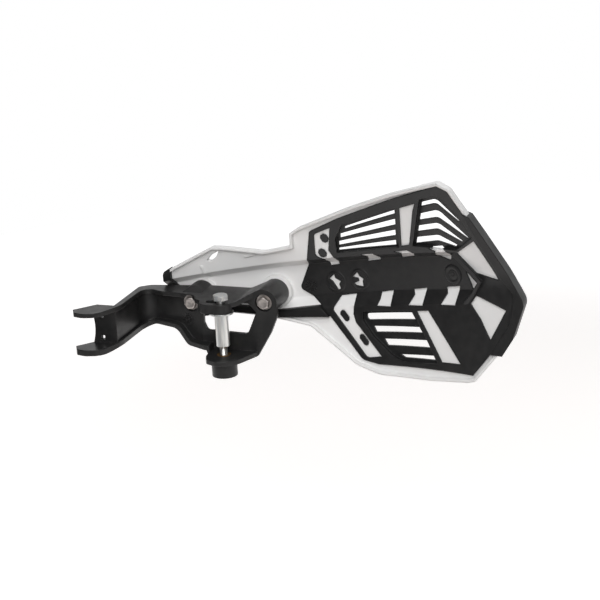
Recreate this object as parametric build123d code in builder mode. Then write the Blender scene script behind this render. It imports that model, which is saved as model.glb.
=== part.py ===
from build123d import *
import os
from math import cos, radians, sin

# Right-hand guard for a motorcycle lever, in millimetres. The origin is where the lever's pivot axis
# meets the top of the lower plate. +X runs outboard along the handlebar, +Y forward, +Z up along the bolt.

# Shell: where it stands and how it curves
guard_forward = 45.0  # spine floor ahead of the pivot axis
guard_height = 36.0  # spine line above the lower plate
guard_tilt = 11.0  # degrees that the spine climbs toward the bar end
plan_radius = 420.0  # sweep of the shell round the hand
bar_turn = 40.0  # degrees swept outboard
wing_turn = 14.0  # degrees swept inboard
shell_near = -1.3  # the shell's rider side, measured forward from the reference surface
shell_far = 2.5
rim_width = 2.0
rim_depth = 4.0

# Shell: its section from top to bottom, a channel between two leaning panels
spine_top = 12.5
spine_bottom = -11.5
spine_recess = 8.0
upper_step = 5.0
lower_step = 7.5
panel_reach = 72.0
panel_lean = 15.0
valley_blend = 45.0  # where the panels meet beyond the spine's tip

# Black inner mouldings
frame_near = -2.5  # the frame's rider side
slat_near = 0.8  # the louvre slats' rider side
vent_skirt = 1.2
peg_proud = 0.6
peg_cut = 0.3  # corner cut of each peg, as a share of its width
ridge_height = 0.9
bumper_near = 5.0
bumper_far = 2.5
rail_near = 5.0
rail_far = 1.5

# Bracket
plate_top = 39.5  # top of the upper plate above the lower plate
flange_wall = 3.2
foot_wall = 4.4  # the arm's lower flange
eye_height = 7.0
eye_radius = 8.0
slot_length = 8.0  # between the slot's end centres
slot_width = 6.8
lower_plate_wall = 3.6
lower_boss_radius = 9.3
lower_boss_height = 11.8
wall_face = 11.0  # rider side of the back wall
arm_foot = 7.7  # underside of the arm at the fork
boss_end = 38.0
boss_radius = 10.0
left_boss = (-29.6, plate_top - 6.9)
right_boss = (28.2, plate_top - 2.5)
left_seat = 17.0  # washer seats, measured forward
right_seat = 14.2
seat_radius = 6.4
seat_depth = 5.5
left_pad_radius = 9.6
right_pad_radius = 12.0
saddle_face = -25.6
saddle_hole = 3.2
saddle_hole_x = -82.3
saddle_hole_inset = 3.9  # from the prongs to the middle of each hole
saddle_end = -89.8
saddle_dip = 1.9  # hollow of the saddle's free end
arm_inner = -71.0  # inner face of the arm's side wall
web_end = -19.0  # where the slanted web meets the back wall
web_slope = -0.304
web_gauge = 3.35  # the web's wall measured forward

# Hardware
pivot_thread = 6.0
pivot_head_across = 10.0
pivot_head_height = 4.0
pivot_head_lift = 1.7  # the bolt stands a little proud of the eye
pivot_washer_radius = 9.0
pivot_washer_wall = 1.2
sleeve_radius = 5.0
sleeve_length = 25.0
pivot_insert_radius = 5.1
pivot_insert_length = 8.0
bolt_thread = 5.0
bolt_head_across = 8.0
bolt_head_height = 3.5
bolt_length = 28.0
washer_radius = 5.9
washer_wall = 1.2
thread_gap = 0.05
hole_gap = 0.4

# Outlines in the guard's own plane: along the spine, above the spine, corner radius
shell_edge = [
    (-51.6, 22.2, 0), (-49.6, 25, 0), (-10.2, 37.5, 5), (-2, 35.9, 8), (28.5, 28.2, 8), (51.2, 29.8, 0),
    (54, 40, 0), (61.5, 43.3, 0), (107, 54.8, 0), (141, 62.1, 0), (182.3, 68.9, 4), (190.8, 64.3, 5),
    (199, 46, 0), (204.8, 31.4, 0), (220.4, -4.6, 0), (225.9, -15.4, 6), (213, -38.5, 0), (203, -49.5, 0),
    (180.4, -69.5, 4), (174, -71, 0), (143, -71, 0), (103, -67.2, 25), (85.4, -59.8, 15), (52.8, -30.5, 8),
    (27, -22.7, 0), (9, -18.3, 0), (-10, -15.2, 0), (-33, -15, 0), (-41, -10.6, 0), (-53.2, 8, 0),
    (-54.4, 12, 0),
]
step_line = [
    (196.4, 46.4, 0), (200.2, 32, 0), (212.5, 0, 0), (221, -10.5, 4), (214.3, -29.6, 0), (195.6, -50.8, 0),
]
frame_edge = [
    (46.5, -4.5, 3), (59.3, 14.9, 0), (69.5, 39.6, 3), (92.7, 46.6, 0), (141.9, 58.5, 0), (182.6, 66.8, 3),
    (189, 63.3, 5), *step_line, (178.4, -66.4, 0), (139.8, -63.2, 0), (103.6, -60.4, 12), (90.6, -56.9, 8),
    (69.2, -24.9, 0), (62.8, -16.9, 4),
]
bumper_edge = [
    *step_line, (204.8, -51, 0), (215.3, -39.3, 0), (228.4, -15.8, 7), (222.4, -4.1, 0), (206.8, 31.8, 0),
    (201, 44.4, 0),
]
rail_edge = [
    (62.6, -17, 0), (27, -17.2, 0), (9, -13.8, 0), (-10, -10.8, 0), (-37, -10.6, 0), (-49.6, 12.6, 0),
    (-46.6, 26.6, 0), (-51.4, 24.8, 0), (-53, 22.6, 0), (-55.6, 12.2, 0), (-54.2, 7.4, 0), (-42.2, -11.2, 0),
    (-34, -14.5, 0), (-10, -14.5, 0), (9, -17.5, 0), (27, -21.8, 0), (68.9, -24.9, 0),
]
# Where the shell's white shows through the frame: the windows, then the hooks and tabs along the channel
windows = [
    [
        (68.2, 20.5, 3), (72.4, 36.8, 3), (86.6, 40.6, 0), (80, 23.5, 0), (82.6, 17, 0), (82.6, 10.5, 0),
        (75.6, 10.1, 0), (73.6, 16.9, 0),
    ],
    [(146.7, 51.5, 0), (159.9, 54.2, 0), (156.7, 49, 0), (146, 23.8, 0), (139.4, 23.3, 0)],
    [(182.2, 17.2, 0), (198.4, 26.2, 0), (210.1, -1.8, 0), (205, -0.8, 0), (193.4, 2.6, 0)],
    [(190.4, -13, 0), (184.8, -18.6, 0), (191.1, -28.5, 0), (196.3, -41.9, 0), (212.2, -21.6, 0)],
    [
        (79.1, -12.4, 0), (91.4, -12, 0), (88.4, -24.5, 0), (89.4, -30.5, 0), (106.3, -55.1, 0),
        (94.4, -55.6, 4), (72, -20.4, 3),
    ],
    [(140.2, -23.9, 0), (149.6, -23.7, 0), (169.6, -59.6, 0), (154.8, -58.8, 0)],
    [(183.4, 1.9, 0), (190.1, -6.7, 0), (186.2, -10.8, 0), (185.6, -6.8, 0)],
]
upper_tabs = [
    [
        (104.2, 18.5, 0), (114.6, 18.4, 0), (117.8, 14.4, 0), (116.6, 11.6, 0), (106.1, 11.2, 0),
        (108.6, 15.9, 0),
    ],
    [
        (131.5, 19.3, 0), (142.6, 19.8, 0), (147.4, 17.1, 0), (145.1, 13.1, 0), (134.3, 12.1, 0),
        (137.3, 17.6, 0),
    ],
    [(160.1, 21, 0), (171, 21.8, 0), (175.6, 15.6, 0), (173.2, 9.6, 0), (162.5, 13.7, 0), (165.3, 18.4, 0)],
]
lower_tabs = [
    [(112, -11.9, 0), (121.6, -11.2, 0), (119.6, -20.7, 0), (108.5, -19.8, 0), (111.1, -15.9, 0)],
    [(138, -10.8, 0), (149, -10.2, 0), (145.4, -20.6, 0), (134.1, -20.1, 0), (139.2, -14.1, 0)],
    [(165.1, -9.6, 0), (176.1, -8.8, 0), (171.8, -20.2, 0), (160.2, -19.9, 0), (165.7, -13.7, 0)],
]
# Where the channel ends in a point, with a rim round it and a wall behind it
tip_line = [
    (180.7, spine_top + upper_step, 0), (196.7, -2.8, 0), (189.4, -12, 0),
    (182.3, spine_bottom - lower_step, 0),
]
outboard_end = 250.0
tip_zone = [*tip_line, (outboard_end, tip_line[3][1], 0), (outboard_end, tip_line[0][1], 0)]
tip_rim = [*tip_line, (178, -18.9, 0), (186.4, -11.7, 0), (194.1, -2.9, 0), (176.9, 16.6, 0)]
tip_wall = [
    *tip_line, (185.4, tip_line[3][1], 0), (193.4, -12.2, 0), (200.6, -2.6, 0), (184, tip_line[0][1], 0),
]
# Recessed louvre fields, and the slots between their slats
vents = [
    [(96.8, 42, 0), (143.6, 52, 0), (137.2, 22.4, 0), (86.2, 21.2, 0), (88, 31.5, 0)],
    [(164.6, 57.2, 0), (179.6, 59.6, 6), (193.5, 42, 0), (197.6, 28.6, 0), (182.5, 19.2, 0), (148.5, 23, 0)],
    [(96.6, -23.2, 0), (137, -24, 0), (151.4, -60.2, 0), (119, -59, 25), (101.8, -41, 20), (95.2, -29.5, 0)],
]
slots = [
    [(97.8, 39.9, 0), (141.2, 49.5, 0), (140.6, 46.9, 0), (96.8, 38.2, 0)],
    [(92.2, 34.7, 0), (139.6, 42.9, 0), (138.5, 38.6, 0), (91.2, 31.6, 0)],
    [(89.2, 29.1, 0), (137.2, 34.7, 0), (136.2, 30.6, 0), (88.3, 26.1, 0)],
    [(87.6, 24, 0), (135.2, 27, 0), (134.3, 23.3, 0), (87, 22.2, 0)],
    [
        (165.1, 54.5, 0), (177.2, 56.6, 5), (190.2, 40.4, 0), (189.3, 39.7, 0), (175.9, 53.4, 5),
        (163.4, 51.5, 0),
    ],
    [
        (161.3, 46.1, 0), (176.2, 48.5, 6), (193.6, 27.9, 0), (192.7, 27.2, 0), (173.9, 43.1, 6),
        (159, 41.4, 0),
    ],
    [
        (157, 37.2, 0), (173.2, 38.9, 6), (188.3, 25.3, 0), (187.3, 24.5, 0), (171.2, 34.5, 6),
        (154.9, 32.9, 0),
    ],
    [
        (152.9, 28.6, 0), (170.7, 29.9, 6), (183.2, 22.4, 0), (181.6, 20.9, 0), (168.7, 25.5, 6),
        (150.7, 24.1, 0),
    ],
    [(98.6, -25.4, 2), (134.9, -25.9, 0), (137.2, -30.9, 0), (97.8, -30.1, 2)],
    [(102.3, -34.5, 0), (139.3, -36, 0), (141.2, -40.1, 0), (103.8, -38.9, 0)],
    [(109.3, -43.6, 0), (143.6, -45, 0), (145.9, -50.3, 0), (111.5, -48.4, 0)],
    [(120.5, -54.6, 0), (147.4, -55.5, 0), (148.6, -58.7, 0), (124.2, -57, 0)],
]
wing_vent = [(-17.8, 27.4, 0), (-13.2, 31, 0), (-6.6, 33.2, 0), (-9.6, 29.4, 0), (-15.3, 26.4, 0)]
wing_ridges = [
    [(-24.3, 23.8, 0), (-22.2, 23.2, 0), (-21.8, 12.5, 0), (-23.6, 13, 0)],
    [(12, 25.2, 0), (12, 26.2, 0), (23, 27.2, 0), (23, 26.2, 0)],
]
# Ragged holes in the spine
ragged_holes = [
    [
        (76.1, 3.1, 0), (71.5, 0.2, 0), (73.9, -1.8, 0), (76.8, -8.4, 0), (79.1, -8, 0), (78.5, -4.3, 0),
        (80.2, -2.3, 0), (76.4, 0.4, 0),
    ],
    [
        (95.3, 3.5, 0), (90.9, 0.3, 0), (94.8, -0.9, 0), (95.3, -3, 0), (90.8, -4.5, 0), (92.2, -6.2, 0),
        (97.9, -7.6, 0), (98, -3.8, 0), (99, -1.7, 0), (96.2, 0.5, 0),
    ],
]
# Pegs of the black moulding in the shell: place, length, width, turn
pegs = [
    (79.6, 33, 6.6, 6, -72), (74.3, 21.7, 6.6, 6, -72), (80.9, -25.6, 8.6, 4.4, -56),
    (93.7, -43.1, 8.6, 4.4, -56),
]

# Bracket outlines in plan (x, y, corner radius) and from the rider (x, z, corner radius)
arm_plan = [
    (-12, 36.5, 0), (-20, 36.5, 20), (-66.6, 29.2, 6), (-74.2, 23.4, 5), (-73.4, -22, 0), (-86.8, -22, 0),
    (-98.8, -36.6, 0), (-95.4, -42.8, 3), (-88, -44.6, 8), (-77.3, -41.6, 12), (-69, -22.5, 25),
    (-69, 12, 10), (-65.6, 20.5, 6), (-16, 2, 0), (-12, 2, 0),
]
# The upper flange stands back here, clear of the washer under it
flange_relief = [(-52, 15.3, 0), (-38, 14.6, 8), (-25.4, 11.2, 5), (-19.6, 3.3, 0), (-24, -6, 0), (-52, 4, 0)]
arm_outline = [
    (-120, plate_top, 0), (0, plate_top, 0), (0, -lower_plate_wall, 0), (-12.4, -lower_plate_wall, 0),
    (-14.4, 1.2, 0), (-31, 2.3, 6), (-40.5, 13.2, 9), (-60, 13.2, 12), (-74, arm_foot, 12),
    (-120, arm_foot, 0),
]
arm_hollow = [
    (-120, plate_top - flange_wall, 0), (-3, plate_top - flange_wall, 0), (-3, 1.2 + flange_wall, 0),
    (-29, 2.3 + flange_wall, 6), (-38.5, 13.2 + flange_wall, 9), (-60, 13.2 + flange_wall, 12),
    (-74, arm_foot + foot_wall, 12), (-120, arm_foot + foot_wall, 0),
]
eye_plate = [(-22, 36.5, 0), (12, 36.5, 0), (eye_radius, 0, 0), (-16, 0, 0), (-22, 4.2, 0)]
back_wall = [
    (-20.5, plate_top, 0), (14, plate_top, 0), (28.2, plate_top + 6.5, 0), (38.2, plate_top - 1.5, 0),
    (38.3, 27.5, 8), (32.8, 14.5, 10), (22, -lower_plate_wall, 0), (-12.4, -lower_plate_wall, 0),
    (-14.4, 1.2, 0), (-20.5, 1.2, 0),
]
wall_window = [
    (-18.6, plate_top - 3.5, 0), (-18.8, 19, 0), (-16.4, 13.4, 3), (15, 12.6, 4.5), (22.3, 29.5, 0),
    (16.5, plate_top - 3.5, 0),
]
lower_plate = [
    (-14, wall_face + flange_wall, 0), (-11.6, -5.5, 6), (-9, -12.6, 4), (0, -16.6, 6), (7, -15, 8),
    (14.4, -8.2, 12), (21.8, 10, 0), (21.8, wall_face + flange_wall, 0),
]
gusset = [
    (6, plate_top - flange_wall, 0), (6, plate_top, 0), (10, plate_top, 6), (25.5, plate_top + 7.1, 0),
    (28.2, plate_top + 4.1, 0), (11, plate_top - flange_wall, 6),
]
gusset_plan = [(5, -2, 0), (8, -1, 0), (30, 20, 4), (30, 36.5, 0), (5, 36.5, 0)]

# Working planes of the guard
spine_dir = Vector(cos(radians(guard_tilt)), 0, sin(radians(guard_tilt)))
rise_dir = Vector(-sin(radians(guard_tilt)), 0, cos(radians(guard_tilt)))
forward_dir = Vector(0, 1, 0)
guard_origin = Vector(0, guard_forward, guard_height)
guard = Plane(origin=guard_origin, x_dir=spine_dir, z_dir=-forward_dir)
sweep_axis = Axis(guard_origin - forward_dir * plan_radius, rise_dir)
start_dir = forward_dir * cos(radians(bar_turn)) + spine_dir * sin(radians(bar_turn))
sweep_start = Plane(origin=sweep_axis.position, x_dir=start_dir, z_dir=start_dir.cross(rise_dir))
guard_reach = plan_radius / 2
bracket_reach = 3 * plate_top


def draw(corners):
    # A closed outline, each corner rounded by its own radius
    with BuildLine() as edge:
        places = [corner[:2] for corner in corners]
        FilletPolyline(places, radius=[corner[2] for corner in corners], close=True)
    make_face(edge.edges())


def draw_pegs():
    # The pegs' outlines, oblongs with their corners cut
    for along, rise, length, width, turn in pegs:
        with BuildSketch(mode=Mode.PRIVATE) as peg:
            Rectangle(length, width)
            chamfer(peg.vertices(), peg_cut * width)
        with Locations(Location((along, rise, 0), (0, 0, turn))):
            add(peg.sketch)


def web_at(x):
    # How far forward the web's rider side stands at x
    return wall_face + web_slope * (x - web_end)


def channel_edge(shift):
    # The guard's section from bottom to top, moved forward by shift
    floor = plan_radius + shift
    ledge = floor - spine_recess
    foot = spine_bottom - lower_step
    head = spine_top + upper_step
    return Polyline(
        (ledge - panel_lean, foot - panel_reach),
        (ledge, foot),
        (floor, spine_bottom),
        (floor, spine_top),
        (ledge, head),
        (ledge - panel_lean, head + panel_reach),
    )


def ledge_edge(shift):
    # The same section with the channel filled level with its two ledges
    ledge = plan_radius + shift - spine_recess
    foot = spine_bottom - lower_step
    head = spine_top + upper_step
    return Polyline(
        (ledge - panel_lean, foot - panel_reach),
        (ledge, foot),
        (ledge, head),
        (ledge - panel_lean, head + panel_reach),
    )


def valley_edge(shift):
    # The section beyond the spine's tip, where the two panels run on to a shallow valley
    ledge = plan_radius + shift - spine_recess
    foot = spine_bottom - lower_step
    head = spine_top + upper_step
    valley = (ledge + (head - foot) / 2 * panel_lean / panel_reach, (head + foot) / 2)
    ends = [(ledge - panel_lean, foot - panel_reach), (ledge - panel_lean, head + panel_reach)]
    return FilletPolyline(ends[0], valley, ends[1], radius=valley_blend)


def swept_sheet(near, far, near_edge, far_edge):
    # What lies between two sections, swept round the hand
    with BuildPart() as sheet:
        with BuildSketch(sweep_start):
            with BuildLine():
                inner = near_edge(near)
                outer = far_edge(far)
                Line(inner @ 0, outer @ 0)
                Line(inner @ 1, outer @ 1)
            make_face()
        revolve(axis=sweep_axis, revolution_arc=bar_turn + wing_turn)
    return sheet.part


def prism(outlines, inset=0.0):
    # The outlines run straight through the guard
    with BuildPart() as block:
        with BuildSketch(guard):
            for corners in outlines:
                draw(corners)
            if inset:
                offset(amount=-inset, kind=Kind.INTERSECTION)
        extrude(amount=guard_reach, both=True)
    return block.part


def guard_layer(near, far):
    # A sheet from near to far ahead of the shell's inner face: channel first, valley beyond the tip
    with BuildPart() as valley:
        add(prism([tip_zone]))
        add(swept_sheet(near, far, valley_edge, valley_edge), mode=Mode.INTERSECT)
    with BuildPart() as layer:
        add(swept_sheet(near, far, channel_edge, channel_edge))
        add(prism([tip_zone]), mode=Mode.SUBTRACT)
        add(valley.part)
    return layer.part


def guard_piece(outlines, near, far, inset=0.0):
    # The part of a layer that lies inside the outlines
    with BuildPart() as piece:
        add(prism(outlines, inset))
        add(guard_layer(near, far), mode=Mode.INTERSECT)
    return piece.part


os.makedirs("parts", exist_ok=True)
bosses = [(left_boss, left_seat, left_pad_radius), (right_boss, right_seat, right_pad_radius)]
bolt_reach = bolt_length - washer_wall + hole_gap  # from each washer's seat to the end of its hole
white_spots = [*windows, *upper_tabs, *lower_tabs]

# Outer shell
with BuildPart() as tip_step:
    add(prism([tip_wall]))
    add(swept_sheet(shell_near, shell_far, valley_edge, channel_edge), mode=Mode.INTERSECT)
with BuildPart() as shell_body:
    add(guard_piece([shell_edge], -rim_depth, shell_far))
    add(guard_piece([shell_edge], -3 * rim_depth, shell_near, inset=rim_width), mode=Mode.SUBTRACT)
    add(tip_step.part)
with BuildPart() as pads:
    for (x, z), seat, pad_radius in bosses:
        with BuildSketch(Plane.XZ.offset(-boss_end)):
            with Locations((x, z)):
                Circle(pad_radius)
        extrude(amount=boss_end - guard_forward)
    add(swept_sheet(-2 * spine_recess, 0, channel_edge, channel_edge), mode=Mode.INTERSECT)
with BuildPart() as outer_shell:
    add(shell_body.part)
    add(guard_piece(wing_ridges, shell_near - ridge_height, 0))
    add(pads.part)
    for (x, z), seat, pad_radius in bosses:
        with BuildSketch(Plane.XZ.offset(-boss_end)):
            with Locations((x, z)):
                Circle(bolt_thread / 2 + thread_gap)
        extrude(amount=boss_end - seat - bolt_reach, mode=Mode.SUBTRACT)
    add(prism(vents, -vent_skirt), mode=Mode.SUBTRACT)
    with BuildSketch(guard):
        draw(wing_vent)
        draw_pegs()
    extrude(amount=guard_reach, both=True, mode=Mode.SUBTRACT)
outer_shell.part.label = "outer_shell"
export_step(outer_shell.part, "parts/outer_shell.step")

# Inner frame with its louvres
with BuildPart() as rim:
    add(prism([tip_rim]))
    add(swept_sheet(frame_near, shell_near, ledge_edge, channel_edge), mode=Mode.INTERSECT)
with BuildPart() as inner_frame:
    add(guard_piece([frame_edge], frame_near, shell_near))
    add(prism([shell_edge], rim_width), mode=Mode.INTERSECT)
    add(guard_piece(vents, frame_near, shell_far, inset=-vent_skirt))
    add(guard_piece(vents, 2 * frame_near, slat_near), mode=Mode.SUBTRACT)
    add(rim.part)
    add(prism([*white_spots, *slots, *ragged_holes]), mode=Mode.SUBTRACT)
inner_frame.part.label = "inner_frame"
export_step(inner_frame.part, "parts/inner_frame.step")

# Frame pegs, the ends of the frame's fixings in the shell
with BuildPart() as frame_pegs:
    with BuildSketch(guard):
        draw_pegs()
    extrude(amount=guard_reach, both=True)
    add(guard_layer(shell_near - peg_proud, shell_far), mode=Mode.INTERSECT)
frame_pegs.part.label = "frame_pegs"
export_step(frame_pegs.part, "parts/frame_pegs.step")

# Edge bumper wrapped over the outboard rim
with BuildPart() as edge_bumper:
    add(guard_piece([bumper_edge], -bumper_near, shell_far + bumper_far))
    add(shell_body.part, mode=Mode.SUBTRACT)
edge_bumper.part.label = "edge_bumper"
export_step(edge_bumper.part, "parts/edge_bumper.step")

# Wing rail along the lower edge of the wing
with BuildPart() as wing_rail:
    add(guard_piece([rail_edge], -rail_near, rail_far))
    add(shell_body.part, mode=Mode.SUBTRACT)
wing_rail.part.label = "wing_rail"
export_step(wing_rail.part, "parts/wing_rail.step")

# Bracket
fork_low = arm_foot + foot_wall
fork_high = plate_top - flange_wall
fork_middle = (fork_low + fork_high) / 2
front_pocket = [
    (-105, saddle_face, 0), (arm_inner, saddle_face, 0), (arm_inner, web_at(arm_inner), 9),
    (web_end, wall_face, 6), (0, wall_face, 0), (0, -80, 0), (-105, -80, 0),
]
back_pocket = [
    (-56, web_at(-56) + web_gauge, 3), (web_end, wall_face + flange_wall, 4),
    (-5, wall_face + flange_wall, 0),
    (-5, 60, 0), (-56, 60, 0),
]
with BuildPart() as pockets:
    with BuildSketch(Plane.XY):
        draw(front_pocket)
        draw(back_pocket)
    extrude(amount=bracket_reach, both=True)
    with BuildSketch(Plane.XZ):
        draw(arm_hollow)
    extrude(amount=bracket_reach, both=True, mode=Mode.INTERSECT)
with BuildPart() as ramp:
    with BuildSketch(Plane.XZ):
        draw(gusset)
    extrude(amount=bracket_reach, both=True)
    with BuildSketch(Plane.XY):
        draw(gusset_plan)
    extrude(amount=bracket_reach, both=True, mode=Mode.INTERSECT)
with BuildPart() as web_boss:
    with BuildSketch(Plane.XZ):
        with Locations(left_boss):
            Circle(boss_radius)
    extrude(amount=-boss_end)
    with BuildSketch(Plane.XY):
        draw([(-60, web_at(-60), 0), (0, web_at(0), 0), (0, 60, 0), (-60, 60, 0)])
    extrude(amount=bracket_reach, both=True, mode=Mode.INTERSECT)
    with BuildSketch(Plane.YZ.offset(left_boss[0])):
        draw([
            (0, plate_top, 0), (left_seat, plate_top, 0), (boss_end - 6, plate_top + 6, 0),
            (0, plate_top + 6, 0),
        ])
    extrude(amount=2 * boss_radius, both=True, mode=Mode.SUBTRACT)
with BuildPart() as bracket:
    with BuildSketch(Plane.XY):
        draw(arm_plan)
    extrude(amount=bracket_reach, both=True)
    with BuildSketch(Plane.XZ):
        draw(arm_outline)
    extrude(amount=bracket_reach, both=True, mode=Mode.INTERSECT)
    add(pockets.part, mode=Mode.SUBTRACT)
    with BuildSketch(Plane.XY.offset(plate_top - 2 * flange_wall)):
        draw(flange_relief)
    extrude(amount=bracket_reach, mode=Mode.SUBTRACT)
    with BuildSketch(Plane.XZ.offset(-wall_face)):
        draw(back_wall)
    extrude(amount=-flange_wall)
    with BuildSketch():
        draw(lower_plate)
    extrude(amount=-lower_plate_wall)
    with BuildSketch(Plane.XY.offset(-lower_plate_wall)):
        Circle(lower_boss_radius)
    extrude(amount=-lower_boss_height)
    with BuildSketch(Plane.XY.offset(plate_top)):
        draw(eye_plate)
    extrude(amount=-flange_wall)
    with BuildSketch(Plane.XY.offset(plate_top)):
        with Locations((-slot_length / 2, 0)):
            SlotCenterToCenter(slot_length, 2 * eye_radius)
    extrude(amount=-eye_height)
    add(ramp.part)
    add(web_boss.part)
    with BuildSketch(Plane.XZ.offset(-wall_face)):
        with Locations(right_boss):
            Circle(boss_radius)
    extrude(amount=wall_face - boss_end)
    with BuildSketch(Plane.XY.offset(plate_top)):
        with Locations((-slot_length / 2, 0)):
            SlotCenterToCenter(slot_length, slot_width)
    extrude(amount=-eye_height, mode=Mode.SUBTRACT)
    with BuildSketch():
        Circle(pivot_insert_radius)
    extrude(amount=-pivot_insert_length, mode=Mode.SUBTRACT)
    with BuildSketch(Plane.XZ.offset(flange_wall - wall_face)):
        draw(wall_window)
    extrude(amount=-3 * flange_wall, mode=Mode.SUBTRACT)
    for (x, z), seat, pad_radius in bosses:
        with BuildSketch(Plane.XZ.offset(-seat)):
            with Locations((x, z)):
                Circle(seat_radius)
        extrude(amount=seat_depth, mode=Mode.SUBTRACT)
        with BuildSketch(Plane.XZ):
            with Locations((x, z)):
                Circle(bolt_thread / 2 + hole_gap)
        extrude(amount=-2 * boss_end, mode=Mode.SUBTRACT)
    with BuildSketch(Plane.XZ):
        for z in (fork_low + saddle_hole_inset, fork_high - saddle_hole_inset):
            with Locations((saddle_hole_x, z)):
                Rectangle(saddle_hole, saddle_hole)
        with BuildLine() as hollow:
            dip = (saddle_end + saddle_dip, fork_middle)
            free_end = ThreePointArc((saddle_end, fork_low), dip, (saddle_end, fork_high))
            Line(free_end @ 0, free_end @ 1)
        make_face(hollow.edges())
    extrude(amount=-2 * saddle_face, both=True, mode=Mode.SUBTRACT)
bracket.part.label = "bracket"
export_step(bracket.part, "parts/bracket.step")

# Pivot bolt
with BuildPart() as pivot_bolt:
    with BuildSketch(Plane.XY.offset(plate_top + pivot_head_lift)):
        RegularPolygon(pivot_head_across / 2, 6, major_radius=False)
    extrude(amount=pivot_head_height)
    with BuildSketch(Plane.XY.offset(plate_top + pivot_head_lift)):
        Circle(pivot_thread / 2)
    extrude(amount=-(plate_top + pivot_head_lift + pivot_insert_length))
pivot_bolt.part.label = "pivot_bolt"
export_step(pivot_bolt.part, "parts/pivot_bolt.step")

# Pivot washer under the eye
with BuildPart() as pivot_washer:
    with BuildSketch(Plane.XY.offset(plate_top - eye_height)):
        Circle(pivot_washer_radius)
        Circle(pivot_thread / 2 + hole_gap / 2, mode=Mode.SUBTRACT)
    extrude(amount=-pivot_washer_wall)
pivot_washer.part.label = "pivot_washer"
export_step(pivot_washer.part, "parts/pivot_washer.step")

# Pivot sleeve that the lever turns on
with BuildPart() as pivot_sleeve:
    with BuildSketch(Plane.XY.offset(plate_top - eye_height - pivot_washer_wall)):
        Circle(sleeve_radius)
        Circle(pivot_thread / 2 + hole_gap / 4, mode=Mode.SUBTRACT)
    extrude(amount=-sleeve_length)
pivot_sleeve.part.label = "pivot_sleeve"
export_step(pivot_sleeve.part, "parts/pivot_sleeve.step")

# Threaded insert in the lower plate
with BuildPart() as pivot_insert:
    with BuildSketch():
        Circle(pivot_insert_radius)
        Circle(pivot_thread / 2 + thread_gap, mode=Mode.SUBTRACT)
    extrude(amount=-pivot_insert_length)
pivot_insert.part.label = "pivot_insert"
export_step(pivot_insert.part, "parts/pivot_insert.step")

# Bolts and washers that hold the shell to the bracket
with BuildPart() as bracket_washers:
    for (x, z), seat, pad_radius in bosses:
        with BuildSketch(Plane.XZ.offset(-seat)):
            with Locations((x, z)):
                Circle(washer_radius)
                Circle(bolt_thread / 2 + hole_gap / 2, mode=Mode.SUBTRACT)
        extrude(amount=washer_wall)
bracket_washers.part.label = "bracket_washers"
export_step(bracket_washers.part, "parts/bracket_washers.step")

with BuildPart() as bracket_bolts:
    for (x, z), seat, pad_radius in bosses:
        with BuildSketch(Plane.XZ.offset(washer_wall - seat)):
            with Locations((x, z)):
                RegularPolygon(bolt_head_across / 2, 6, major_radius=False)
        extrude(amount=bolt_head_height)
        with BuildSketch(Plane.XZ.offset(washer_wall - seat)):
            with Locations((x, z)):
                Circle(bolt_thread / 2)
        extrude(amount=-bolt_length)
bracket_bolts.part.label = "bracket_bolts"
export_step(bracket_bolts.part, "parts/bracket_bolts.step")
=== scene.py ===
import bpy
import bmesh
import math
from mathutils import Matrix, Vector


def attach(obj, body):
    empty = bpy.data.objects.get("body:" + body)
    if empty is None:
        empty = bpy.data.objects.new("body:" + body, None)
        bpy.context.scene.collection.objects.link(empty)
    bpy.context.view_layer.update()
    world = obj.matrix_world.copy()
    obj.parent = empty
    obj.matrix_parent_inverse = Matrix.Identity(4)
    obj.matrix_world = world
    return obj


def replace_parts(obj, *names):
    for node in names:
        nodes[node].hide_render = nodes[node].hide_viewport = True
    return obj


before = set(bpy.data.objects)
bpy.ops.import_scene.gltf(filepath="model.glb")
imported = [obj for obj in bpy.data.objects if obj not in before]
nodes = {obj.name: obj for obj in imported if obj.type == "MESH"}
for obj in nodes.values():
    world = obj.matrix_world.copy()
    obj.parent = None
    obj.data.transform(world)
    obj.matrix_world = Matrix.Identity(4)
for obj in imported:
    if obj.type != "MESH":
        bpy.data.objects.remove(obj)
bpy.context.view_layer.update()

mm = 0.001  # in metres


# finishes
def noiseNode(tree, vector, scale, detail):
    noise = tree.nodes.new("ShaderNodeTexNoise")
    noise.inputs["Scale"].default_value = scale
    noise.inputs["Detail"].default_value = detail
    tree.links.new(vector, noise.inputs["Vector"])
    return noise.outputs["Fac"]


surface = {
    "grainDetail": 3.0, "grainDepth": 0.1 * mm, "cloudDetail": 5.0,
    "cloudRange": (0.3, 0.7),  # the part of the slow noise that the tones and the gloss use
    "edgeSamples": 6,
}


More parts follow.
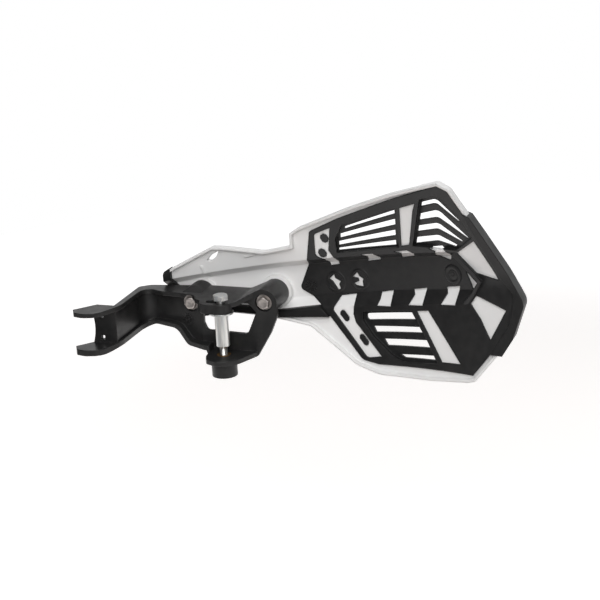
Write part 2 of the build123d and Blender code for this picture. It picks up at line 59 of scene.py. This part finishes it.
def newFinish(name, look):
    # two close tones, fine grain in the bump, slow change of gloss, edges softened a little
    mat = bpy.data.materials.new(name)
    mat.use_nodes = True
    tree = mat.node_tree
    shader = tree.nodes["Principled BSDF"]
    shader.inputs["Metallic"].default_value = look["metallic"]
    shader.inputs["Specular IOR Level"].default_value = look["specular"]
    place = tree.nodes.new("ShaderNodeTexCoord")
    stretch = tree.nodes.new("ShaderNodeMapping")
    stretch.inputs["Scale"].default_value = look["stretch"]
    tree.links.new(place.outputs["Object"], stretch.inputs["Vector"])
    grain = noiseNode(tree, stretch.outputs["Vector"], look["grainScale"], surface["grainDetail"])
    cloud = noiseNode(tree, stretch.outputs["Vector"], look["cloudScale"], surface["cloudDetail"])
    tones = tree.nodes.new("ShaderNodeValToRGB")
    for stop, position, tone in zip(tones.color_ramp.elements, surface["cloudRange"], look["tones"]):
        stop.position = position
        stop.color = (*tone, 1.0)
    gloss = tree.nodes.new("ShaderNodeMapRange")
    gloss.inputs["From Min"].default_value, gloss.inputs["From Max"].default_value = surface["cloudRange"]
    gloss.inputs["To Min"].default_value, gloss.inputs["To Max"].default_value = look["roughness"]
    edge = tree.nodes.new("ShaderNodeBevel")
    edge.samples = surface["edgeSamples"]
    edge.inputs["Radius"].default_value = look["edge"]
    bump = tree.nodes.new("ShaderNodeBump")
    bump.inputs["Strength"].default_value = look["grainStrength"]
    bump.inputs["Distance"].default_value = surface["grainDepth"]
    tree.links.new(cloud, tones.inputs["Fac"])
    tree.links.new(tones.outputs["Color"], shader.inputs["Base Color"])
    tree.links.new(cloud, gloss.inputs["Value"])
    tree.links.new(gloss.outputs["Result"], shader.inputs["Roughness"])
    tree.links.new(grain, bump.inputs["Height"])
    tree.links.new(edge.outputs["Normal"], bump.inputs["Normal"])
    tree.links.new(bump.outputs["Normal"], shader.inputs["Normal"])
    return mat


even = (1.0, 1.0, 1.0)
turned = (1.0, 1.0, 0.12)  # draws the noise out along the bolt
looks = {
    "whiteMoulding": {
        "tones": [(0.775, 0.768, 0.762), (0.815, 0.811, 0.806)], "roughness": (0.30, 0.40),
        "metallic": 0.0, "specular": 0.5, "stretch": even, "cloudScale": 45.0,
        "grainScale": 1400.0, "grainStrength": 0.05, "edge": 1.6 * mm,
    },
    "blackMoulding": {
        "tones": [(0.0125, 0.0125, 0.0130), (0.0185, 0.0182, 0.0182)], "roughness": (0.32, 0.44),
        "metallic": 0.0, "specular": 0.28, "stretch": even, "cloudScale": 160.0,
        "grainScale": 2600.0, "grainStrength": 0.30, "edge": 0.9 * mm,
    },
    "blackSoft": {
        "tones": [(0.0120, 0.0120, 0.0123), (0.0170, 0.0170, 0.0170)], "roughness": (0.38, 0.50),
        "metallic": 0.0, "specular": 0.22, "stretch": even, "cloudScale": 110.0,
        "grainScale": 2200.0, "grainStrength": 0.18, "edge": 0.9 * mm,
    },
    "blackFilled": {
        "tones": [(0.0125, 0.0125, 0.0128), (0.0185, 0.0182, 0.0180)], "roughness": (0.32, 0.44),
        "metallic": 0.0, "specular": 0.36, "stretch": even, "cloudScale": 140.0,
        "grainScale": 2400.0, "grainStrength": 0.30, "edge": 0.8 * mm,
    },
    "brightZinc": {
        "tones": [(0.76, 0.79, 0.81), (0.93, 0.915, 0.87)], "roughness": (0.28, 0.40),
        "metallic": 1.0, "specular": 0.5, "stretch": turned, "cloudScale": 420.0,
        "grainScale": 1500.0, "grainStrength": 0.12, "edge": 0.2 * mm,
    },
    "dullZinc": {
        "tones": [(0.31, 0.286, 0.272), (0.47, 0.432, 0.41)], "roughness": (0.42, 0.60),
        "metallic": 1.0, "specular": 0.5, "stretch": even, "cloudScale": 500.0,
        "grainScale": 2200.0, "grainStrength": 0.15, "edge": 0.2 * mm,
    },
    "brass": {
        "tones": [(0.28, 0.16, 0.07), (0.40, 0.25, 0.11)], "roughness": (0.46, 0.60),
        "metallic": 1.0, "specular": 0.5, "stretch": even, "cloudScale": 500.0,
        "grainScale": 1800.0, "grainStrength": 0.10, "edge": 0.2 * mm,
    },
}
finishes = {name: newFinish(name, look) for name, look in looks.items()}

nodeFinish = {
    "outer_shell": "whiteMoulding", "inner_frame": "blackMoulding", "frame_pegs": "blackMoulding",
    "edge_bumper": "blackSoft", "wing_rail": "blackSoft", "bracket": "blackFilled",
    "pivot_bolt": "brightZinc", "pivot_washer": "brightZinc", "pivot_sleeve": "brightZinc",
    "pivot_insert": "brass", "bracket_bolts": "dullZinc", "bracket_washers": "dullZinc",
}
for nodeName, finishName in nodeFinish.items():
    nodeSlots = nodes[nodeName].data.materials
    nodeSlots.clear()
    nodeSlots.append(finishes[finishName])
print("finishes on the CAD pieces")


# mesh helpers
def circleRing(radius, height, steps):
    turn = 2 * math.pi / steps
    return [Vector((radius * math.cos(k * turn), radius * math.sin(k * turn), height)) for k in range(steps)]


def joinRings(bm, rings, place, closed=False):
    # rings of equal count are skinned one to the next; a ring of one point closes an end
    made = [[bm.verts.new(place @ point) for point in ring] for ring in rings]
    pairs = list(zip(made, made[1:]))
    if closed:
        pairs.append((made[-1], made[0]))
    for lower, upper in pairs:
        count = max(len(lower), len(upper))
        for k in range(count):
            after = (k + 1) % count
            if len(lower) == 1:
                bm.faces.new((lower[0], upper[k], upper[after]))
            elif len(upper) == 1:
                bm.faces.new((lower[k], lower[after], upper[0]))
            else:
                bm.faces.new((lower[k], lower[after], upper[after], upper[k]))


def spinProfile(bm, profile, place, steps, closed=False):
    rings = [circleRing(r, h, steps) if r > 0 else [Vector((0.0, 0.0, h))] for r, h in profile]
    joinRings(bm, rings, place, closed)


def placeOn(spot, xAxis, yAxis, zAxis):
    return Matrix.Translation(spot) @ Matrix((xAxis, yAxis, zAxis)).transposed().to_4x4()


def addObject(name, data):
    made = bpy.data.objects.new(name, data)
    bpy.context.scene.collection.objects.link(made)
    return made


def addPiece(name, bm, finishName, crease=32.0):
    bmesh.ops.recalc_face_normals(bm, faces=bm.faces)
    mesh = bpy.data.meshes.new(name)
    bm.to_mesh(mesh)
    bm.free()
    for face in mesh.polygons:
        face.use_smooth = True
    mesh.set_sharp_from_angle(angle=math.radians(crease))
    mesh.materials.append(finishes[finishName])
    piece = addObject(name, mesh)
    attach(piece, "root")
    return piece


# hexagon heads, in shares of half the width across flats and of the height
headForm = {
    "rim": 0.93, "dish": 0.55, "dishEdge": 0.70, "dishLevel": 0.94, "washer": 0.95, "washerLevel": 0.08,
    "chamfer": math.radians(30.0),
}


def hexHeadRings(across, height, steps):
    # from the dished top over the chamfered corners to the washer face
    flat = across / 2
    rim, washer = headForm["rim"] * flat, headForm["washer"] * flat
    dishLevel, washerLevel = headForm["dishLevel"] * height, headForm["washerLevel"] * height
    top, bottom = [], []
    for k in range(steps):
        angle = 2 * math.pi * k / steps
        radius = flat / math.cos((angle % (math.pi / 3)) - math.pi / 6)
        drop = (radius - rim) * math.tan(headForm["chamfer"])
        top.append(Vector((radius * math.cos(angle), radius * math.sin(angle), height - drop)))
        bottom.append(Vector((radius * math.cos(angle), radius * math.sin(angle), washerLevel)))
    return [
        [Vector((0.0, 0.0, dishLevel))], circleRing(headForm["dish"] * flat, dishLevel, steps),
        circleRing(headForm["dishEdge"] * flat, height, steps), circleRing(rim, height, steps),
        top, bottom, circleRing(washer, washerLevel, steps), circleRing(washer, 0.0, steps),
    ]


def threadRings(bolt, start, end):
    # rings close together, each a little further round the helix
    rings = []
    slices = int((start - end) / bolt["pitch"] * bolt["slicesPerTurn"])
    for n in range(slices + 1):
        height = start + (end - start) * n / slices
        ring = []
        for k in range(bolt["steps"]):
            angle = 2 * math.pi * k / bolt["steps"]
            phase = (height / bolt["pitch"] - k / bolt["steps"]) % 1.0
            level = bolt["radius"] - bolt["threadDepth"] * abs(2 * phase - 1)
            ring.append(Vector((level * math.cos(angle), level * math.sin(angle), height)))
        rings.append(ring)
    return rings


pivotBolt = {
    "underHead": 41.2 * mm, "across": 10 * mm, "headHeight": 4 * mm, "radius": 3 * mm, "end": -8 * mm,
    "threadTop": 9 * mm, "runOut": 0.2 * mm, "pitch": 1 * mm, "threadDepth": 0.45 * mm,
    "slicesPerTurn": 8, "steps": 72,
}
boltMesh = bmesh.new()
threadStart = pivotBolt["threadTop"] - pivotBolt["underHead"]  # both from under the head
threadEnd = pivotBolt["end"] - pivotBolt["underHead"]
joinRings(boltMesh, [
    *hexHeadRings(pivotBolt["across"], pivotBolt["headHeight"], pivotBolt["steps"]),
    circleRing(pivotBolt["radius"], 0.0, pivotBolt["steps"]),
    circleRing(pivotBolt["radius"], threadStart + pivotBolt["runOut"], pivotBolt["steps"]),
    *threadRings(pivotBolt, threadStart, threadEnd),
    [Vector((0.0, 0.0, threadEnd))],
], Matrix.Translation((0.0, 0.0, pivotBolt["underHead"])))
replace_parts(addPiece("pivotBoltThreaded", boltMesh, "brightZinc"), "pivot_bolt")

pivotSleeve = {
    "top": 31.3 * mm, "length": 25 * mm, "radius": 5 * mm, "bore": 3.1 * mm,
    "chamferDepth": 0.7 * mm, "topChamfer": 0.35 * mm, "endChamfer": 0.84 * mm, "steps": 96,
}
sleeveMesh = bmesh.new()
sleeveEnd = pivotSleeve["top"] - pivotSleeve["length"]
sleeveLip = pivotSleeve["radius"] - pivotSleeve["chamferDepth"]
spinProfile(sleeveMesh, [
    (pivotSleeve["bore"], pivotSleeve["top"]), (sleeveLip, pivotSleeve["top"]),
    (pivotSleeve["radius"], pivotSleeve["top"] - pivotSleeve["topChamfer"]),
    (pivotSleeve["radius"], sleeveEnd + pivotSleeve["endChamfer"]), (sleeveLip, sleeveEnd),
    (pivotSleeve["bore"], sleeveEnd),
], Matrix.Identity(4), pivotSleeve["steps"], closed=True)
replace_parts(addPiece("pivotSleeveTurned", sleeveMesh, "brightZinc"), "pivot_sleeve")

bracketBolts = {
    "places": [(-29.6 * mm, 15.8 * mm, 32.6 * mm), (28.2 * mm, 13.0 * mm, 37.0 * mm)], "turns": [8.0, 22.0],
    "across": 8 * mm, "headHeight": 3.5 * mm, "radius": 2.5 * mm, "length": 28 * mm, "steps": 48,
}
boltMesh = bmesh.new()
towardRider = Matrix.Rotation(math.radians(90.0), 4, "X")
for spot, turn in zip(bracketBolts["places"], bracketBolts["turns"]):
    joinRings(boltMesh, [
        *hexHeadRings(bracketBolts["across"], bracketBolts["headHeight"], bracketBolts["steps"]),
        circleRing(bracketBolts["radius"], 0.0, bracketBolts["steps"]),
        circleRing(bracketBolts["radius"], -bracketBolts["length"], bracketBolts["steps"]),
        [Vector((0.0, 0.0, -bracketBolts["length"]))],
    ], Matrix.Translation(spot) @ towardRider @ Matrix.Rotation(math.radians(turn), 4, "Z"))
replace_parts(addPiece("bracketBoltHeads", boltMesh, "dullZinc"), "bracket_bolts")
print("bolts and sleeve with chamfers and thread")

# small moulded marks on the spine and the arm
guardForm = {
    "forward": 45 * mm, "height": 36 * mm, "tilt": math.radians(11.0),
    "radius": 420 * mm,  # sweep round the hand
    "face": -2.5 * mm,  # the spine's rider face from the sweep
}


def onSpine(along, rise):
    # X along the spine, Y up across it, Z out toward the rider
    spineDir = Vector((math.cos(guardForm["tilt"]), 0.0, math.sin(guardForm["tilt"])))
    riseDir = Vector((-math.sin(guardForm["tilt"]), 0.0, math.cos(guardForm["tilt"])))
    forward = Vector((0.0, 1.0, 0.0))
    reach = guardForm["radius"] + guardForm["face"]
    sinTurn = along / reach
    cosTurn = math.sqrt(1 - sinTurn * sinTurn)
    spot = (Vector((0.0, guardForm["forward"] - guardForm["radius"], guardForm["height"]))
            + spineDir * along + riseDir * rise + forward * reach * cosTurn)
    return placeOn(spot, spineDir * cosTurn - forward * sinTurn, riseDir,
                   -spineDir * sinTurn - forward * cosTurn)


spineButton = {
    "along": 172.6 * mm, "rise": -0.6 * mm, "steps": 72,
    "profile": [  # radius and height in mm
        (0.0, 0.35), (0.7, 0.35), (1.0, 0.75), (1.7, 0.80), (2.1, 0.55), (3.2, 0.55), (3.5, 0.35),
        (4.0, 0.35), (4.3, 0.70), (5.4, 0.95), (6.3, 0.90), (6.9, 0.60), (7.2, 0.10), (7.2, -0.30),
        (0.0, -0.30),
    ],
}
buttonMesh = bmesh.new()
spinProfile(buttonMesh, [(r * mm, h * mm) for r, h in spineButton["profile"]],
            onSpine(spineButton["along"], spineButton["rise"]), spineButton["steps"])
addPiece("spineButton", buttonMesh, "blackMoulding")

holeRings = {
    "places": [(76.6 * mm, -2.4 * mm), (96.4 * mm, -2.0 * mm)], "steps": 72,
    "profile": [  # radius and height in mm
        (6.3, -0.20), (6.3, 0.40), (6.5, 0.52), (6.9, 0.50), (7.8, 0.12), (8.3, 0.0), (8.3, -0.20),
    ],
}
ringMesh = bmesh.new()
for along, rise in holeRings["places"]:
    spinProfile(ringMesh, [(r * mm, h * mm) for r, h in holeRings["profile"]],
                onSpine(along, rise), holeRings["steps"], closed=True)
addPiece("spineHoleRings", ringMesh, "blackMoulding")


def addBar(bm, place, start, end, dial):
    # a low bar with sloping sides, lying along X
    half = dial["barHalf"]
    low, high = [], []
    for x, y in ((start, -half), (end, -half), (end, half), (start, half)):
        low.append(bm.verts.new(place @ Vector((x, y, dial["foot"]))))
        high.append(bm.verts.new(place @ Vector((x, dial["barTaper"] * y, dial["height"]))))
    bm.faces.new(low)
    bm.faces.new(high)
    for k in range(len(low)):
        after = (k + 1) % len(low)
        bm.faces.new((low[k], low[after], high[after], high[k]))


def addDial(bm, place, dial):
    # ticks round a low ring with a pointer, the plain mould mark of a month
    for k in range(dial["ticks"]):
        turn = Matrix.Rotation(2 * math.pi * k / dial["ticks"], 4, "Z")
        addBar(bm, place @ turn, dial["tickFrom"], dial["tickTo"], dial)
    spinProfile(bm, [
        (dial["ring"], dial["foot"]), (dial["ring"], dial["height"]),
        (dial["ring"] + dial["ringTop"], dial["height"]), (dial["ring"] + dial["ringFoot"], dial["foot"]),
    ], place, dial["ringSteps"], closed=True)
    pointer = Matrix.Rotation(math.radians(dial["pointerTurn"]), 4, "Z")
    addBar(bm, place @ pointer, -dial["pointerHalf"], dial["pointerHalf"], dial)


dateDial = {
    "ticks": 12, "tickFrom": 2.7 * mm, "tickTo": 4.6 * mm, "barHalf": 0.40 * mm, "barTaper": 0.75,
    "ring": 1.7 * mm, "ringTop": 0.35 * mm, "ringFoot": 0.45 * mm, "ringSteps": 36,
    "pointerTurn": 40.0, "pointerHalf": 1.36 * mm,
    "height": 0.70 * mm, "foot": -0.2 * mm,  # the foot is sunk in the moulding
}
spineDial = {"along": 55.9 * mm, "rise": -3.5 * mm}
dialMesh = bmesh.new()
addDial(dialMesh, onSpine(spineDial["along"], spineDial["rise"]), dateDial)
addPiece("spineDial", dialMesh, "blackMoulding")

armDial = {"spot": (-32.6 * mm, 15.13 * mm, 19.6 * mm), "slope": -0.304}  # the web's run in Y over X
webOut = Vector((armDial["slope"], -1.0, 0.0)).normalized()
webAlong = Vector((1.0, armDial["slope"], 0.0)).normalized()
dialMesh = bmesh.new()
addDial(dialMesh, placeOn(armDial["spot"], webAlong, webOut.cross(webAlong), webOut), dateDial)
addPiece("armDial", dialMesh, "blackFilled")
print("button, rings and dials")

# camera
camView = {
    "azimuth": math.radians(20.0), "elevation": math.radians(18.0), "roll": math.radians(2.8),
    "place": (0.4397, -1.0425, 0.4054), "lens": 100.0, "sensor": 36.0, "clipEnd": 20.0,
}
camOut = math.cos(camView["elevation"])
camBack = Vector((math.sin(camView["azimuth"]) * camOut, -math.cos(camView["azimuth"]) * camOut,
                  math.sin(camView["elevation"])))
levelRight = Vector((math.cos(camView["azimuth"]), math.sin(camView["azimuth"]), 0.0))
levelUp = camBack.cross(levelRight)
camRight = levelRight * math.cos(camView["roll"]) - levelUp * math.sin(camView["roll"])
camUp = levelRight * math.sin(camView["roll"]) + levelUp * math.cos(camView["roll"])
camData = bpy.data.cameras.new("camera")
camData.lens = camView["lens"]
camData.sensor_width = camView["sensor"]
camData.clip_end = camView["clipEnd"]
cam = addObject("camera", camData)
cam.matrix_world = placeOn(camView["place"], camRight, camUp, camBack)
bpy.context.scene.camera = cam

# lamps
lamps = {
    "keyLight": {"place": (0.25, -1.4, 1.6), "size": 2.2, "power": 33.5},
    "fillLight": {"place": (0.7, -1.85, 0.85), "size": 1.5, "power": 18.0},
    "topLight": {"place": (0.15, 0.25, 1.7), "size": 1.2, "power": 5.0},
}
lampTarget = Vector((0.07, 0.02, 0.03))  # about the middle of the guard
for lampName, lamp in lamps.items():
    lampData = bpy.data.lights.new(lampName, "AREA")
    lampData.shape = "DISK"
    lampData.size = lamp["size"]
    lampData.energy = lamp["power"]
    lampObject = addObject(lampName, lampData)
    lampObject.location = lamp["place"]
    lampAim = lampTarget - Vector(lamp["place"])
    lampObject.rotation_euler = lampAim.to_track_quat("-Z", "Y").to_euler()


# node helpers for the room and the table
def fadeNode(tree, value, fromMin, fromMax, toMin, toMax):
    fade = tree.nodes.new("ShaderNodeMapRange")
    fade.interpolation_type = "SMOOTHSTEP"
    fade.inputs["From Min"].default_value = fromMin
    fade.inputs["From Max"].default_value = fromMax
    fade.inputs["To Min"].default_value = toMin
    fade.inputs["To Max"].default_value = toMax
    tree.links.new(value, fade.inputs["Value"])
    return fade.outputs["Result"]


def mixLevels(tree, share, first, second=None):
    # without a second level, the share goes to white
    mix = tree.nodes.new("ShaderNodeMix")
    tree.links.new(share, mix.inputs["Factor"])
    tree.links.new(first, mix.inputs["A"])
    if second is None:
        mix.inputs["B"].default_value = 1.0
    else:
        tree.links.new(second, mix.inputs["B"])
    return mix.outputs["Result"]


def mathNode(tree, operation, first, second):
    node = tree.nodes.new("ShaderNodeMath")
    node.operation = operation
    tree.links.new(first, node.inputs[0])
    tree.links.new(second, node.inputs[1])
    return node.outputs["Value"]


# room: a white backdrop behind, dim in front and overhead, white where the camera looks
room = {  # each fade from one direction to another, then its two levels
    "front": (-0.6, 0.0, 0.20, 0.07), "back": (0.50, 0.95, 1.0, 0.07), "turn": (0.5, 0.9, 0.0, 1.0),
    "color": (1.0, 1.0, 1.0, 1.0),
}
world = bpy.data.worlds.new("studio")
bpy.context.scene.world = world
world.use_nodes = True
worldTree = world.node_tree
background = worldTree.nodes["Background"]
background.inputs["Color"].default_value = room["color"]
direction = worldTree.nodes.new("ShaderNodeTexCoord")
parts = worldTree.nodes.new("ShaderNodeSeparateXYZ")
worldTree.links.new(direction.outputs["Generated"], parts.inputs["Vector"])
frontLevel = fadeNode(worldTree, parts.outputs["Z"], *room["front"])
backLevel = fadeNode(worldTree, parts.outputs["Z"], *room["back"])
backShare = fadeNode(worldTree, parts.outputs["Y"], *room["turn"])
roomLevel = mixLevels(worldTree, backShare, frontLevel, backLevel)
worldPath = worldTree.nodes.new("ShaderNodeLightPath")
seenLevel = mixLevels(worldTree, worldPath.outputs["Is Camera Ray"], roomLevel)
worldTree.links.new(seenLevel, background.inputs["Strength"])

# round white table well under the object; it glows for what looks at it, most toward its rim
table = {
    "centre": (0.05, 0.55, -0.30), "radius": 1.15, "steps": 128, "color": (0.86, 0.785, 0.745, 1.0),
    "roughness": 0.9, "glowColor": (0.935, 0.965, 0.985, 1.0),
    "glow": (0.35, 1.1, 0.55, 1.0),  # between two distances from the centre, then the two levels
}
tableMesh = bmesh.new()
tableRim = circleRing(table["radius"], 0.0, table["steps"])
tableMesh.faces.new([tableMesh.verts.new(point) for point in tableRim])
floorMesh = bpy.data.meshes.new("floor")
tableMesh.to_mesh(floorMesh)
tableMesh.free()
floor = addObject("floor", floorMesh)
floor.location = table["centre"]
floorMat = bpy.data.materials.new("paleFloor")
floorMat.use_nodes = True
floorTree = floorMat.node_tree
floorShader = floorTree.nodes["Principled BSDF"]
floorShader.inputs["Base Color"].default_value = table["color"]
floorShader.inputs["Roughness"].default_value = table["roughness"]
floorShader.inputs["Emission Color"].default_value = table["glowColor"]
floorPlace = floorTree.nodes.new("ShaderNodeTexCoord")
floorReach = floorTree.nodes.new("ShaderNodeVectorMath")
floorReach.operation = "LENGTH"
floorTree.links.new(floorPlace.outputs["Object"], floorReach.inputs[0])
glowLevel = fadeNode(floorTree, floorReach.outputs["Value"], *table["glow"])
floorPath = floorTree.nodes.new("ShaderNodeLightPath")
seen = floorPath.outputs["Is Camera Ray"]
for rayName in ("Is Glossy Ray", "Is Transmission Ray"):
    seen = mathNode(floorTree, "MAXIMUM", seen, floorPath.outputs[rayName])
floorGlow = mathNode(floorTree, "MULTIPLY", seen, glowLevel)
floorTree.links.new(floorGlow, floorShader.inputs["Emission Strength"])
floorMesh.materials.append(floorMat)
bpy.context.scene.view_settings.view_transform = "Standard"
print("camera, lamps and floor")
